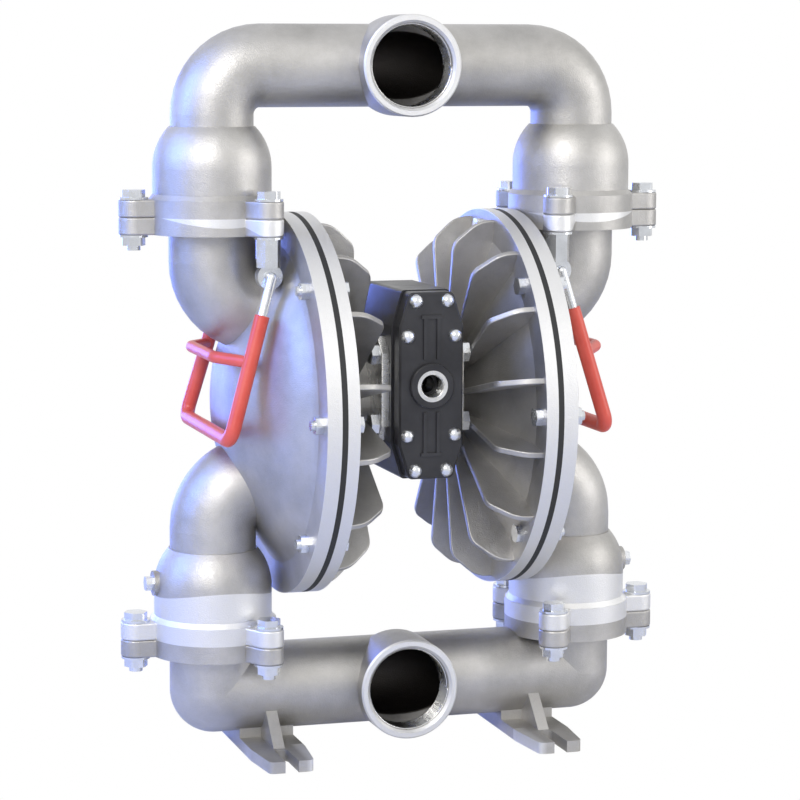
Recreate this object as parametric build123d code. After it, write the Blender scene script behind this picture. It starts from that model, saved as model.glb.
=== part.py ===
from build123d import *
import math
import os

# Air operated double diaphragm pump, cast stainless, nominal 3 inch ports.
# Millimetres. X runs across the two liquid chambers, -Y is the air inlet side,
# +Z is up and the floor is Z = 0 under the feet.

# ---- layout of the liquid path ----
column_offset = 197.0          # from the middle of the pump to each riser axis
ring_radius = 198.5            # clamp ring round each diaphragm
suction_axis_height = 62.0
suction_rise = 58.0            # from the suction tube's axis to the lower joint
lower_joint_gap = 43.5         # lower joint below the clamp ring
upper_joint_sink = 2.5         # upper joint below the top of the clamp ring
discharge_rise = 154.0         # from the upper joint to the discharge tube's axis
lower_joint_height = suction_axis_height + suction_rise
chamber_height = lower_joint_height + lower_joint_gap + ring_radius
upper_joint_height = chamber_height + ring_radius - upper_joint_sink
discharge_axis_height = upper_joint_height + discharge_rise

# ---- tubes and ball housings ----
discharge_tube_radius = 43.0
suction_tube_radius = 45.5
tube_wall = 5.5
elbow_radius = 50.0
arm_radius = 45.0
arm_wall = 6.0
housing_radius = 61.5
housing_wall = 8.0
housing_height = 92.0
housing_neck_margin = 1.5      # neck of a ball housing over its tube
ball_radius = 36.0
ball_lift = 20.0
seat_bore_radius = 29.0
seat_outer_radius = 44.0
seat_thickness = 8.0
ball_rest_gap = 0.05
cage_clearance = 1.5
cage_rib_thickness = 6.0

# ---- bolted flanges of the liquid path ----
flange_radius = 66.0
flange_thickness = 18.0
ear_pitch_radius = 82.6
ear_radius = 15.5
ear_count = 3
ear_bolt_radius = 7.0
ear_hole_radius = 7.8
ear_hex = 22.0
ear_head_height = 10.0
ear_nut_height = 11.0
ear_bolt_tail = 5.0

# ---- pipe ports ----
port_bore_radius = 43.4
port_ring_radius = 52.5
port_reach = 62.0              # port face from the manifold axis
port_boss_depth = 58.0
port_opening_radius = 31.0     # where a port opens into its tube
port_opening_depth = 52.0
port_thread_depth = 30.0
port_face_chamfer = 3.0

# ---- diaphragm chambers ----
ring_width = 32.5
ring_bore_radius = ring_radius - ring_width
diaphragm_plane = 112.3
diaphragm_thickness = 6.0
outer_ring_thickness = 15.0
inner_ring_thickness = 12.5
dome_face = 191.0
dome_wall = 6.5
dome_shoulder_radius = ring_bore_radius * 0.65
dome_crown_radius = ring_bore_radius * 0.40
upper_arm_rise = ring_radius * 0.50   # upper arm above the diaphragm axis
lower_arm_drop = ring_radius * 0.40   # lower arm below the diaphragm axis
clamp_inset = 18.5             # clamp bolts inside the ring's edge
clamp_pitch_radius = ring_radius - clamp_inset
clamp_count = 8
clamp_bolt_radius = 5.0
clamp_hole_radius = 5.5
clamp_hex = 17.0
clamp_head_height = 7.0
clamp_nut_height = 8.5
clamp_bolt_tail = 4.0
rib_count = 16
rib_thickness = 6.0
rib_plane = 54.0
hub_radius = 60.0
dish_wall = 6.5

# ---- diaphragm assembly ----
plate_radius = 92.0
plate_thickness = 8.0
shaft_radius = 14.0
shaft_clearance = 0.05
stroke = 15.0
bush_radius = 20.0
shaft_stud_radius = 9.0
plate_nut_hex = 41.0
plate_nut_height = 18.0

# ---- centre block and air valve ----
block_half_width = 36.0
block_half_depth = 104.0
block_rise = 124.0             # top of the block above the shaft
block_drop = 69.0              # foot of the block below the shaft
block_top = chamber_height + block_rise
block_bottom = chamber_height - block_drop
block_corner = 4.0
block_end_half_width = 25.0
block_straight = 60.0          # half the height of the block's parallel sides
block_waist_depth = 8.0        # where the tall front part of the block ends
rear_half_width = 33.0
rear_rise = 90.0               # top of the lower rear part above the shaft
rear_drop = 61.0
gasket_thickness = 1.5
cover_thickness = 20.0
cover_rise = 28.0              # middle of the air cover above the shaft
cover_height = chamber_height + cover_rise
cover_half_width = 34.0
cover_straight = 60.0
cover_end_half_width = 23.0
cover_half_length = 95.0
cover_screw_radius = 4.0
cover_screw_length = 14.0      # thread in the block
cover_head_radius = 7.4
cover_head_sink = 1.6          # centre of the dome below the cover's face
end_screw_across = 16.5
end_screw_rise = 86.0
side_screw_across = 25.0
side_screw_rise = 50.5
inlet_bore_radius = 12.3
inlet_ring_radius = 16.0
inlet_boss_radius = 23.0
inlet_boss_height = 4.5
inlet_depth = 22.0
inlet_drill_radius = 9.0       # air way behind the inlet thread
sleeve_radius = 18.0
sleeve_bore_radius = 13.0
sleeve_half_length = 88.0
valve_axis_depth = 66.0
spool_clearance = 0.05
spool_half_length = 70.0
spool_travel = 10.0
pilot_height = 38.0            # pilot pin above the shaft
pilot_radius = 5.0
pilot_clearance = 0.05
pilot_half_length = 79.7
exhaust_bore_radius = 15.5
exhaust_drill_radius = 12.0    # air way behind the exhaust thread
exhaust_depth = 50.0           # air way in the block
exhaust_plate_thickness = 14.0
exhaust_boss_height = 8.0
exhaust_half_height = 56.0
exhaust_half_width = 30.0

# ---- drain plugs ----
drain_height = 57.0            # above the lower joint
drain_radius = 6.5
drain_hex = 14.0
drain_head_height = 8.0

# ---- lifting handles ----
handle_pivot_drop = 58.0       # pivots below the upper joint
handle_pivot_height = upper_joint_height - handle_pivot_drop
handle_rod_radius = 5.0
handle_grip_radius = 7.6
handle_splay = 14.0            # each leg spreads by this from pivot to bar
handle_bar_drop = 163.0
handle_bar_gap = 4.0
handle_bend = 13.0
handle_cross_drop = 88.0
handle_cross_rise = 2.0        # bow of the cross bar above its ends
handle_cross_reach = 9.0       # bow of the cross bar clear of the dished cover
handle_cross_half = 52.0
handle_bare_length = 40.0
eye_half_thickness = 6.0
eye_radius = 13.0
eye_clearance = 0.08
handle_leg_gap = 6.4663        # legs outside the outer faces of the eyes
handle_leg_offset = ear_pitch_radius * math.sin(math.radians(60)) + eye_half_thickness + handle_leg_gap

# ---- feet ----
foot_offset = 145.0
foot_half_length = 123.0
foot_half_width = 23.0
foot_root_half_width = 29.0
foot_thickness = 12.0
foot_slot_half_width = 7.0
foot_slot_depth = 40.0
foot_rib_thickness = 12.0


def turned(points, axis=Axis.Z):
    """Solid of revolution from an outline given as radius and height."""
    if axis == Axis.Z:
        corners = [(radius, 0, height) for radius, height in points]
    else:
        corners = [(height, 0, radius) for radius, height in points]
    return revolve(make_face(Polyline(*corners, close=True)), axis=axis)


def rod_between(start, end, radius):
    """Round bar between two points."""
    line = Vector(*end) - Vector(*start)
    base = Plane(origin=start, z_dir=line)
    return extrude(base * Circle(radius), line.length)


def hexagon_bar(width, height):
    """Hexagon bar standing on Z = 0 with lightly turned corners."""
    bar = extrude(RegularPolygon(width / 2, 6, major_radius=False), height)
    corner_radius = width / 2 * 1.1
    return bar & extrude(Circle(corner_radius), height)


def on_left(shape):
    """The left-hand casting is the right-hand one reflected across the pump."""
    return mirror(shape, about=Plane.YZ)


def ear_angles():
    """Directions of the flange ears on the right-hand riser."""
    return [360 / ear_count * number for number in range(ear_count)]


def ear_positions():
    """Centres of the ears on the right-hand riser, in plan."""
    spots = []
    for angle in ear_angles():
        across = column_offset + ear_pitch_radius * math.cos(math.radians(angle))
        along = ear_pitch_radius * math.sin(math.radians(angle))
        spots.append((across, along))
    return spots


def flange(bottom):
    """Round flange of the right-hand riser with its three bolt ears."""
    outline = Circle(flange_radius)
    for angle in ear_angles():
        lug = Pos(ear_pitch_radius / 2, 0) * Rectangle(ear_pitch_radius, ear_radius * 2)
        lug += Pos(ear_pitch_radius, 0) * Circle(ear_radius)
        outline += Rot(0, 0, angle) * lug
    plate = extrude(outline, flange_thickness)
    for angle in ear_angles():
        hole = extrude(Circle(ear_hole_radius), flange_thickness)
        plate -= Rot(0, 0, angle) * Pos(ear_pitch_radius, 0, 0) * hole
    sharp = plate.edges().filter_by(GeomType.CIRCLE).filter_by(
        lambda edge: abs(edge.radius - ear_radius) < 0.01)
    plate = fillet(sharp, 2.0)
    return Pos(column_offset, 0, bottom) * plate


def housing_outside(joint, tube_radius):
    """Outer form of a ball housing, swelling from the tube down to its joint face."""
    top = joint + housing_height
    neck = tube_radius + housing_neck_margin
    foot_ring = flange_radius - 1
    collar = joint + flange_thickness
    shoulder = math.sqrt(housing_radius ** 2 - neck ** 2)
    centre = top - shoulder
    half_turn = math.atan2(shoulder, neck) / 2
    middle = (housing_radius * math.cos(half_turn), 0,
              centre + housing_radius * math.sin(half_turn))
    base = Polyline((0, 0, top), (0, 0, joint), (foot_ring, 0, joint), (foot_ring, 0, collar),
                    (housing_radius, 0, collar + 5), (housing_radius, 0, centre))
    swell = ThreePointArc((housing_radius, 0, centre), middle, (neck, 0, top))
    outline = make_face(base + swell + Line((neck, 0, top), (0, 0, top)))
    return Pos(column_offset, 0, 0) * revolve(outline, axis=Axis.Z)


def housing_cavity(joint, neck_bore):
    """Room for the ball above its seat, closing to the tube bore."""
    top = joint + housing_height
    bore = housing_radius - housing_wall
    points = [
        (0, joint),
        (seat_outer_radius - 3, joint),
        (bore, joint + 12),
        (bore, top - 30),
        (bore - 4, top - 17),
        (neck_bore, top - 3),
        (neck_bore, top + 0.5),
        (0, top + 0.5),
    ]
    return Pos(column_offset, 0, 0) * turned(points)


def ball_rest(joint):
    """Height of a ball's centre when it sits on its seat."""
    reach = ball_radius + ball_rest_gap
    return joint + math.sqrt(reach ** 2 - seat_bore_radius ** 2)


def cage_ribs(joint):
    """Four ribs that guide the ball and stop its lift."""
    inner = ball_radius + cage_clearance
    outer = housing_radius - housing_wall / 2
    top = joint + housing_height
    stop = ball_rest(joint) + ball_lift
    outline = Polyline(
        (inner, 0, joint + 14),
        (inner, 0, stop + 14),
        (ball_radius / 2, 0, stop + ball_radius + 1),
        (ball_radius / 2, 0, top - 12),
        (ball_radius + 4.5, 0, top - 12),
        (outer - 4, 0, top - 24),
        (outer, 0, joint + 14),
        close=True,
    )
    blade = extrude(make_face(outline), cage_rib_thickness / 2, both=True)
    ribs = Part()
    for number in range(4):
        ribs += Rot(0, 0, 45 + 90 * number) * blade
    return Pos(column_offset, 0, 0) * ribs


def seat_pocket(joint):
    """Recess below a joint face that holds the ball seat, with the bore under it."""
    pocket = extrude(Circle(seat_outer_radius), -seat_thickness)
    return Pos(column_offset, 0, joint) * pocket


def port_boss(height):
    """Round boss of a pipe port, facing the air inlet side."""
    face = Plane(origin=(0, -port_reach, height), z_dir=(0, 1, 0))
    boss = extrude(face * Circle(port_ring_radius), port_boss_depth)
    boss = chamfer(boss.edges().filter_by(GeomType.CIRCLE), 1.5)
    root = Plane(origin=(0, -port_reach + port_boss_depth - 1.5, height), z_dir=(0, 1, 0))
    neck = extrude(root * Circle(port_ring_radius - 1.5), 18, taper=30)
    return boss + neck


def port_hole(height):
    """Tapped bore of a pipe port, coned down to its opening in the tube."""
    face = Plane(origin=(0, -port_reach, height), z_dir=(0, 1, 0))
    lead = extrude(face * Circle(port_bore_radius + port_face_chamfer),
                   port_face_chamfer, taper=45)
    thread = extrude(face * Circle(port_bore_radius), port_thread_depth)
    mouth = -port_reach + port_thread_depth
    throat = -port_reach + port_opening_depth
    cone = Polyline((0, mouth), (port_bore_radius, mouth), (port_opening_radius, throat),
                    (port_opening_radius, 0), (0, 0), close=True)
    opening = revolve(make_face(cone), axis=Axis.Y)
    return lead + thread + Pos(0, 0, height) * opening


def discharge_manifold():
    """One casting: cross tube, two elbows, two ball housings and the port."""
    turn_height = upper_joint_height + housing_height
    path = FilletPolyline(
        (-column_offset, 0, turn_height),
        (-column_offset, 0, discharge_axis_height),
        (column_offset, 0, discharge_axis_height),
        (column_offset, 0, turn_height),
        radius=elbow_radius,
    )
    start = Plane(origin=(-column_offset, 0, turn_height), z_dir=(0, 0, 1))
    bore = discharge_tube_radius - tube_wall
    body = sweep(start * Circle(discharge_tube_radius), path=path)
    water = sweep(start * Circle(bore), path=path)
    end = housing_outside(upper_joint_height, discharge_tube_radius)
    end += flange(upper_joint_height)
    body += end + on_left(end) + port_boss(discharge_axis_height)
    room = housing_cavity(upper_joint_height, bore)
    body -= water
    body -= room + on_left(room)
    body -= port_hole(discharge_axis_height)
    holes = ear_holes(upper_joint_height)
    body -= holes + on_left(holes)
    cage = cage_ribs(upper_joint_height)
    return body + cage + on_left(cage)


def ear_holes(joint):
    """Bolt holes through the ears on both sides of a joint."""
    holes = Part()
    for across, along in ear_positions():
        hole = extrude(Circle(ear_hole_radius), flange_thickness * 2)
        holes += Pos(across, along, joint - flange_thickness) * hole
    return holes


def foot():
    """Forked foot plate under the right-hand end, with its upright rib."""
    tip = foot_half_length
    bend = foot_half_length - foot_slot_depth - 15
    outline = Polyline(
        (-foot_half_width, -tip), (foot_half_width, -tip),
        (foot_root_half_width, -bend), (foot_root_half_width, bend),
        (foot_half_width, tip), (-foot_half_width, tip),
        (-foot_root_half_width, bend), (-foot_root_half_width, -bend),
        close=True,
    )
    plate = extrude(make_face(outline), foot_thickness)
    tips = plate.edges().filter_by(Axis.Z).filter_by(
        lambda edge: abs(abs(edge.center().Y) - tip) < 0.1)
    plate = fillet(tips, 6.0)
    for side in (-1, 1):
        slot = Pos(0, side * (tip - foot_slot_depth / 2)) * Rectangle(
            foot_slot_half_width * 2, foot_slot_depth)
        slot += Pos(0, side * (tip - foot_slot_depth)) * Circle(foot_slot_half_width)
        plate -= extrude(slot, foot_thickness)
    rib = Polyline(
        (0, -bend - 6, foot_thickness - 1), (0, bend + 6, foot_thickness - 1),
        (0, 34, suction_axis_height - 10), (0, -34, suction_axis_height - 10),
        close=True,
    )
    web = extrude(make_face(rib), foot_rib_thickness / 2, both=True)
    saddle = Pos(0, 0, foot_thickness - 1) * extrude(
        Rectangle(foot_root_half_width * 2, 44), suction_axis_height - 22)
    return Pos(foot_offset, 0, 0) * (plate + web + saddle)


def suction_manifold():
    """One casting: cross tube, tight elbows, flanges, port and forked feet."""
    bore = suction_tube_radius - tube_wall
    left_end = (-column_offset, 0, suction_axis_height)
    right_end = (column_offset, 0, suction_axis_height)
    flange_bottom = lower_joint_height - flange_thickness
    body = rod_between(left_end, right_end, suction_tube_radius)
    riser = rod_between(right_end, (column_offset, 0, flange_bottom + 1), suction_tube_radius)
    riser += Pos(*right_end) * Sphere(suction_tube_radius)
    riser += flange(flange_bottom) + foot()
    body += riser + on_left(riser) + port_boss(suction_axis_height)
    water = rod_between(left_end, right_end, bore)
    turn = rod_between(right_end, (column_offset, 0, lower_joint_height), bore - 4)
    turn += Pos(*right_end) * Sphere(bore) + seat_pocket(lower_joint_height)
    body -= water
    body -= turn + on_left(turn)
    body -= port_hole(suction_axis_height)
    return body


def outer_chamber():
    """Right-hand liquid chamber: dished cover, ring, two arms, ball housing."""
    ring_face = diaphragm_plane + diaphragm_thickness / 2
    ring_back = ring_face + outer_ring_thickness
    shell = Plane.XZ * make_face(
        Polyline((ring_face, 0), (ring_face, ring_radius), (ring_back, ring_radius),
                 (ring_back, ring_bore_radius + 1))
        + Spline((ring_back, ring_bore_radius + 1), (ring_back + 14, ring_bore_radius - 20),
                 (dome_face - 28, dome_shoulder_radius),
                 (dome_face - 8, dome_crown_radius), (dome_face, 0),
                 tangents=((0.35, -1), (0, -1)))
        + Line((dome_face, 0), (ring_face, 0)))
    room = Plane.XZ * make_face(
        Polyline((ring_face, 0), (ring_face, ring_bore_radius),
                 (ring_back - 6, ring_bore_radius - 2))
        + Spline((ring_back - 6, ring_bore_radius - 2),
                 (ring_back + 8, ring_bore_radius - 22),
                 (dome_face - 28 - dome_wall, dome_shoulder_radius - 3),
                 (dome_face - 8 - dome_wall, dome_crown_radius - 1),
                 (dome_face - dome_wall, 0),
                 tangents=((0.35, -1), (0, -1)))
        + Line((dome_face - dome_wall, 0), (ring_face, 0)))
    dome = Pos(0, 0, chamber_height) * revolve(shell, axis=Axis.X)
    cavity = Pos(0, 0, chamber_height) * revolve(room, axis=Axis.X)

    arm_end = ring_back + 6
    upper_entry = chamber_height + upper_arm_rise
    lower_entry = chamber_height - lower_arm_drop
    upper_path = FilletPolyline(
        (column_offset, 0, upper_joint_height), (column_offset, 0, upper_entry),
        (arm_end, 0, upper_entry), radius=elbow_radius)
    housing_top = lower_joint_height + housing_height
    lower_path = FilletPolyline(
        (column_offset, 0, housing_top - 1), (column_offset, 0, lower_entry),
        (arm_end, 0, lower_entry), radius=elbow_radius)
    upper_start = Plane(origin=(column_offset, 0, upper_joint_height), z_dir=(0, 0, -1))
    lower_start = Plane(origin=(column_offset, 0, housing_top - 1), z_dir=(0, 0, 1))
    bore = arm_radius - arm_wall
    body = dome
    body += sweep(upper_start * Circle(arm_radius), path=upper_path)
    body += sweep(lower_start * Circle(arm_radius), path=lower_path)
    body += housing_outside(lower_joint_height, arm_radius)
    body += flange(upper_joint_height - flange_thickness)
    body += flange(lower_joint_height)
    boss_face = column_offset + housing_radius + 3
    drain_level = lower_joint_height + drain_height
    boss = rod_between((column_offset, 0, drain_level), (boss_face, 0, drain_level), 13)
    body += boss
    body -= cavity
    body -= sweep(upper_start * Circle(bore), path=upper_path)
    body -= sweep(lower_start * Circle(bore), path=lower_path)
    body -= housing_cavity(lower_joint_height, bore)
    body -= seat_pocket(upper_joint_height)
    body -= ear_holes(upper_joint_height)
    body -= ear_holes(lower_joint_height)
    body -= rod_between((column_offset, 0, drain_level), (boss_face + 1, 0, drain_level),
                        drain_radius)
    for spot in clamp_bolt_spots():
        end = ring_back if has_nut(spot[1]) else ring_back - 1
        radius = clamp_hole_radius if has_nut(spot[1]) else clamp_bolt_radius
        body -= rod_between((ring_face, *spot), (end, *spot), radius)
    cage = cage_ribs(lower_joint_height)
    return body + cage


def clamp_bolt_spots():
    """Centres of the bolts round the diaphragm ring, as (Y, Z)."""
    spots = []
    for number in range(clamp_count):
        angle = 2 * math.pi / clamp_count * number
        along = clamp_pitch_radius * math.cos(angle)
        height = chamber_height + clamp_pitch_radius * math.sin(angle)
        spots.append((along, height))
    return spots


def chamber_rib():
    """One radial rib: nothing at the ring, full and round-shouldered towards the hub."""
    ring_back = diaphragm_plane - diaphragm_thickness / 2 - inner_ring_thickness
    edge = Spline(
        (ring_back + 1, ring_radius - 6), (ring_back - 19, ring_radius - 10),
        (rib_plane + 9, ring_radius - 22), (rib_plane, ring_radius - 41),
        tangents=((-1, 0), (0, -1)))
    rest = Polyline(
        (rib_plane, ring_radius - 41), (rib_plane, hub_radius - 2),
        (rib_plane + 8, hub_radius - 2), (rib_plane + 11, hub_radius + 14),
        (ring_back + 3, ring_bore_radius + 2), (ring_back + 1, ring_radius - 6))
    blade = extrude(Plane.XZ * make_face(edge + rest), rib_thickness / 2, both=True)
    return fillet(blade.edges().filter_by(GeomType.BSPLINE), 1.2)


def inner_chamber():
    """Right-hand air chamber: clamp ring, dish, hub and radial ribs."""
    ring_face = diaphragm_plane - diaphragm_thickness / 2
    ring_back = ring_face - inner_ring_thickness
    outline = [
        (bush_radius, block_half_width),
        (hub_radius, block_half_width),
        (hub_radius, rib_plane + 4),
        (hub_radius + 12, rib_plane + 8),
        (ring_bore_radius, ring_back - 1),
        (ring_bore_radius + 3, ring_back),
        (ring_radius, ring_back),
        (ring_radius, ring_face),
        (ring_bore_radius, ring_face),
        (ring_bore_radius - 3, ring_face - 6),
        (hub_radius + 14, rib_plane + 8 + dish_wall),
        (hub_radius, rib_plane + 4 + dish_wall),
        (bush_radius, rib_plane + 4 + dish_wall),
    ]
    body = turned(outline, axis=Axis.X)
    rib = chamber_rib()
    for number in range(rib_count):
        turn = 360 / rib_count * (number + 0.5)
        body += Rot(turn, 0, 0) * rib
    body = Pos(0, 0, chamber_height) * body
    for across in clamp_bolt_spots():
        body -= rod_between((ring_back, *across), (ring_face, *across), clamp_hole_radius)
    pilot_level = chamber_height + pilot_height
    body -= rod_between((block_half_width, 0, pilot_level),
                        (rib_plane + 12, 0, pilot_level), pilot_radius + 1)
    return body


def diaphragm():
    """Right-hand rubber diaphragm: clamped rim, rolled bow, flat middle."""
    half = diaphragm_thickness / 2
    bow = 7.0
    middle = (plate_radius + ring_bore_radius) / 2
    outline = [
        (shaft_stud_radius, diaphragm_plane - half),
        (plate_radius, diaphragm_plane - half),
        (plate_radius + 12, diaphragm_plane - half + bow * 0.6),
        (middle, diaphragm_plane - half + bow),
        (ring_bore_radius - 16, diaphragm_plane - half + bow * 0.6),
        (ring_bore_radius - 4, diaphragm_plane - half),
        (ring_radius, diaphragm_plane - half),
        (ring_radius, diaphragm_plane + half),
        (ring_bore_radius - 4, diaphragm_plane + half),
        (ring_bore_radius - 16, diaphragm_plane + half + bow * 0.6),
        (middle, diaphragm_plane + half + bow),
        (plate_radius + 12, diaphragm_plane + half + bow * 0.6),
        (plate_radius, diaphragm_plane + half),
        (shaft_stud_radius, diaphragm_plane + half),
    ]
    body = Pos(0, 0, chamber_height) * turned(outline, axis=Axis.X)
    for across in clamp_bolt_spots():
        body -= rod_between((diaphragm_plane - half, *across),
                            (diaphragm_plane + half, *across), clamp_hole_radius)
    return body


def diaphragm_plate(side):
    """Dished backing plate; side is -1 on the air face, +1 on the liquid face."""
    near = diaphragm_plane + side * diaphragm_thickness / 2
    far = near + side * plate_thickness
    outline = [
        (shaft_stud_radius, near),
        (plate_radius, near),
        (plate_radius, near + side * 2),
        (plate_radius - 16, far),
        (shaft_stud_radius, far),
    ]
    return Pos(0, 0, chamber_height) * turned(outline, axis=Axis.X)


def shaft():
    """Steel shaft joining the two diaphragms, with a stud at each end."""
    shoulder = diaphragm_plane - diaphragm_thickness / 2 - plate_thickness
    tip = diaphragm_plane + diaphragm_thickness / 2 + plate_thickness + plate_nut_height + 2
    body = rod_between((-shoulder, 0, chamber_height), (shoulder, 0, chamber_height),
                       shaft_radius)
    body += rod_between((-tip, 0, chamber_height), (tip, 0, chamber_height),
                        shaft_stud_radius)
    return body


def plate_nut():
    """Large hexagon nut that clamps the diaphragm between its plates."""
    seat = diaphragm_plane + diaphragm_thickness / 2 + plate_thickness
    nut = hexagon_bar(plate_nut_hex, plate_nut_height)
    nut -= extrude(Circle(shaft_stud_radius), plate_nut_height)
    place = Plane(origin=(seat, 0, chamber_height), x_dir=(0, 1, 0), z_dir=(1, 0, 0))
    return place.location * nut


def shaft_bush():
    """Bronze bush pressed in the hub of the right-hand air chamber."""
    outline = [
        (shaft_radius + shaft_clearance, block_half_width + 2),
        (bush_radius, block_half_width + 2),
        (bush_radius, rib_plane + 4 + dish_wall),
        (shaft_radius + shaft_clearance, rib_plane + 4 + dish_wall),
    ]
    return Pos(0, 0, chamber_height) * turned(outline, axis=Axis.X)


def centre_block():
    """Moulded block between the air chambers, bored for shaft, valve and pilot."""
    middle = (block_top + block_bottom) / 2
    outline = Polyline(
        (-block_end_half_width, block_bottom), (block_end_half_width, block_bottom),
        (block_half_width, middle - block_straight), (block_half_width, middle + block_straight),
        (block_end_half_width, block_top), (-block_end_half_width, block_top),
        (-block_half_width, middle + block_straight), (-block_half_width, middle - block_straight),
        close=True)
    face = fillet(make_face(outline).vertices(), block_corner)
    front = Plane(origin=(0, block_waist_depth, 0), x_dir=(1, 0, 0), z_dir=(0, -1, 0))
    body = extrude(front * face, block_half_depth + block_waist_depth)
    level = chamber_height + (rear_rise - rear_drop) / 2
    back = Plane(origin=(0, block_waist_depth - 2, level), x_dir=(1, 0, 0), z_dir=(0, 1, 0))
    rear = fillet(Rectangle(rear_half_width * 2, rear_rise + rear_drop).vertices(), block_corner)
    body += extrude(back * rear, block_half_depth - block_waist_depth + 2)
    body -= rod_between((-block_half_width, 0, chamber_height),
                        (block_half_width, 0, chamber_height), shaft_radius + 1.5)
    body -= rod_between((0, -valve_axis_depth, block_bottom),
                        (0, -valve_axis_depth, block_top), sleeve_radius)
    pilot_level = chamber_height + pilot_height
    body -= rod_between((-block_half_width, 0, pilot_level),
                        (block_half_width, 0, pilot_level), pilot_radius + pilot_clearance)
    body -= rod_between((0, -block_half_depth, cover_height),
                        (0, -valve_axis_depth, cover_height), inlet_drill_radius)
    body -= rod_between((0, block_half_depth, cover_height),
                        (0, block_half_depth - exhaust_depth, cover_height),
                        exhaust_drill_radius)
    for across, level in cover_screw_spots():
        body -= rod_between((across, -block_half_depth, level),
                            (across, -block_half_depth + cover_screw_length, level),
                            cover_screw_radius)
    return body


def cover_screw_spots():
    """Centres of the air cover screws, as (X, Z)."""
    spots = []
    end_pair = (end_screw_across, end_screw_rise)
    side_pair = (side_screw_across, side_screw_rise)
    for across, up in (end_pair, side_pair):
        for side in (-1, 1):
            for end in (-1, 1):
                spots.append((side * across, cover_height + end * up))
    return spots


def cover_outline(shrink=0.0):
    """Long eight-sided outline of the air cover in its own plane."""
    wide = cover_half_width - shrink
    narrow = cover_end_half_width - shrink
    tall = cover_half_length - shrink
    corners = Polyline(
        (-narrow, -tall), (narrow, -tall), (wide, -cover_straight), (wide, cover_straight),
        (narrow, tall), (-narrow, tall), (-wide, cover_straight), (-wide, -cover_straight),
        close=True)
    face = make_face(corners)
    return fillet(face.vertices(), 5.0)


def front_plane(depth):
    """Plane facing the air inlet side at a depth in front of the middle."""
    return Plane(origin=(0, -depth, cover_height), x_dir=(1, 0, 0), z_dir=(0, -1, 0))


def cover_gasket():
    """Thin gasket behind the air cover."""
    sheet = extrude(front_plane(block_half_depth) * cover_outline(1.0), gasket_thickness)
    sheet -= rod_between((0, -block_half_depth, cover_height),
                         (0, -block_half_depth - gasket_thickness, cover_height),
                         inlet_drill_radius)
    for across, level in cover_screw_spots():
        sheet -= rod_between((across, -block_half_depth, level),
                             (across, -block_half_depth - gasket_thickness, level),
                             cover_screw_radius)
    return sheet


def air_cover():
    """Air inlet cover with a raised rim panel, inlet boss and stiffening bars."""
    back = block_half_depth + gasket_thickness
    face = back + cover_thickness
    body = extrude(front_plane(back) * cover_outline(), cover_thickness)
    front_edges = body.faces().sort_by(Axis.Y)[0].edges()
    body = chamfer(front_edges, 2.0)
    boss = extrude(front_plane(face) * Circle(inlet_boss_radius), inlet_boss_height)
    body += chamfer(boss.faces().sort_by(Axis.Y)[0].edges(), 1.0)
    for end in (-1, 1):
        for side in (-1, 1):
            bar = Pos(side * 7, end * 48) * Rectangle(3.5, 42)
            body += extrude(front_plane(face) * bar, 2.0)
        bridge = Pos(0, end * 70) * Rectangle(22, 3.5)
        body += extrude(front_plane(face) * bridge, 2.0)
    nose = face + inlet_boss_height
    body -= rod_between((0, -nose, cover_height), (0, -nose + inlet_depth, cover_height),
                        inlet_ring_radius)
    body -= rod_between((0, -nose, cover_height), (0, -back, cover_height),
                        inlet_drill_radius)
    for across, level in cover_screw_spots():
        body -= rod_between((across, -face, level), (across, -back, level),
                            cover_screw_radius)
    return body


def inlet_insert():
    """Steel threaded ring moulded in the air inlet boss."""
    nose = block_half_depth + gasket_thickness + cover_thickness + inlet_boss_height
    body = rod_between((0, -nose, cover_height), (0, -nose + inlet_depth, cover_height),
                       inlet_ring_radius)
    body -= rod_between((0, -nose, cover_height), (0, -nose + inlet_depth, cover_height),
                        inlet_bore_radius)
    return body


def cover_screws():
    """Dome-head screws of the air cover."""
    seat = block_half_depth + gasket_thickness + cover_thickness
    group = Part()
    for across, level in cover_screw_spots():
        head = Pos(0, 0, -cover_head_sink) * Sphere(cover_head_radius)
        head &= extrude(Circle(cover_head_radius), cover_head_radius)
        place = Plane(origin=(across, -seat, level), x_dir=(1, 0, 0), z_dir=(0, -1, 0))
        screw = place.location * head
        tip = -block_half_depth + cover_screw_length - 2
        screw += rod_between((across, -seat, level), (across, tip, level), cover_screw_radius)
        group += screw
    return group


def valve_sleeve():
    """Ported steel sleeve of the main air valve."""
    body = extrude(Circle(sleeve_radius), sleeve_half_length, both=True)
    body -= extrude(Circle(sleeve_bore_radius), sleeve_half_length, both=True)
    for level in (-60, -30, 0, 30, 60):
        groove = extrude(Circle(sleeve_radius), 4, both=True)
        groove -= extrude(Circle(sleeve_radius - 2), 4, both=True)
        body -= Pos(0, 0, level) * groove
    middle = (block_top + block_bottom) / 2
    return Pos(0, -valve_axis_depth, middle) * body


def valve_spool():
    """Aluminium spool that shuttles in the sleeve."""
    body = extrude(Circle(sleeve_bore_radius - spool_clearance), spool_half_length, both=True)
    for level in (-35, 0, 35):
        waist = extrude(Circle(sleeve_bore_radius), 9, both=True)
        waist -= extrude(Circle(sleeve_bore_radius - 5), 9, both=True)
        body -= Pos(0, 0, level) * waist
    middle = (block_top + block_bottom) / 2
    return Pos(0, -valve_axis_depth, middle) * body


def valve_plugs():
    """Two plugs that close the valve bore, flush with the block."""
    middle = (block_top + block_bottom) / 2
    depth = block_top - middle - sleeve_half_length
    group = Part()
    for end in (-1, 1):
        plug = extrude(Circle(sleeve_radius), depth / 2, both=True)
        level = middle + end * (sleeve_half_length + depth / 2)
        group += Pos(0, -valve_axis_depth, level) * plug
    return group


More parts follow.
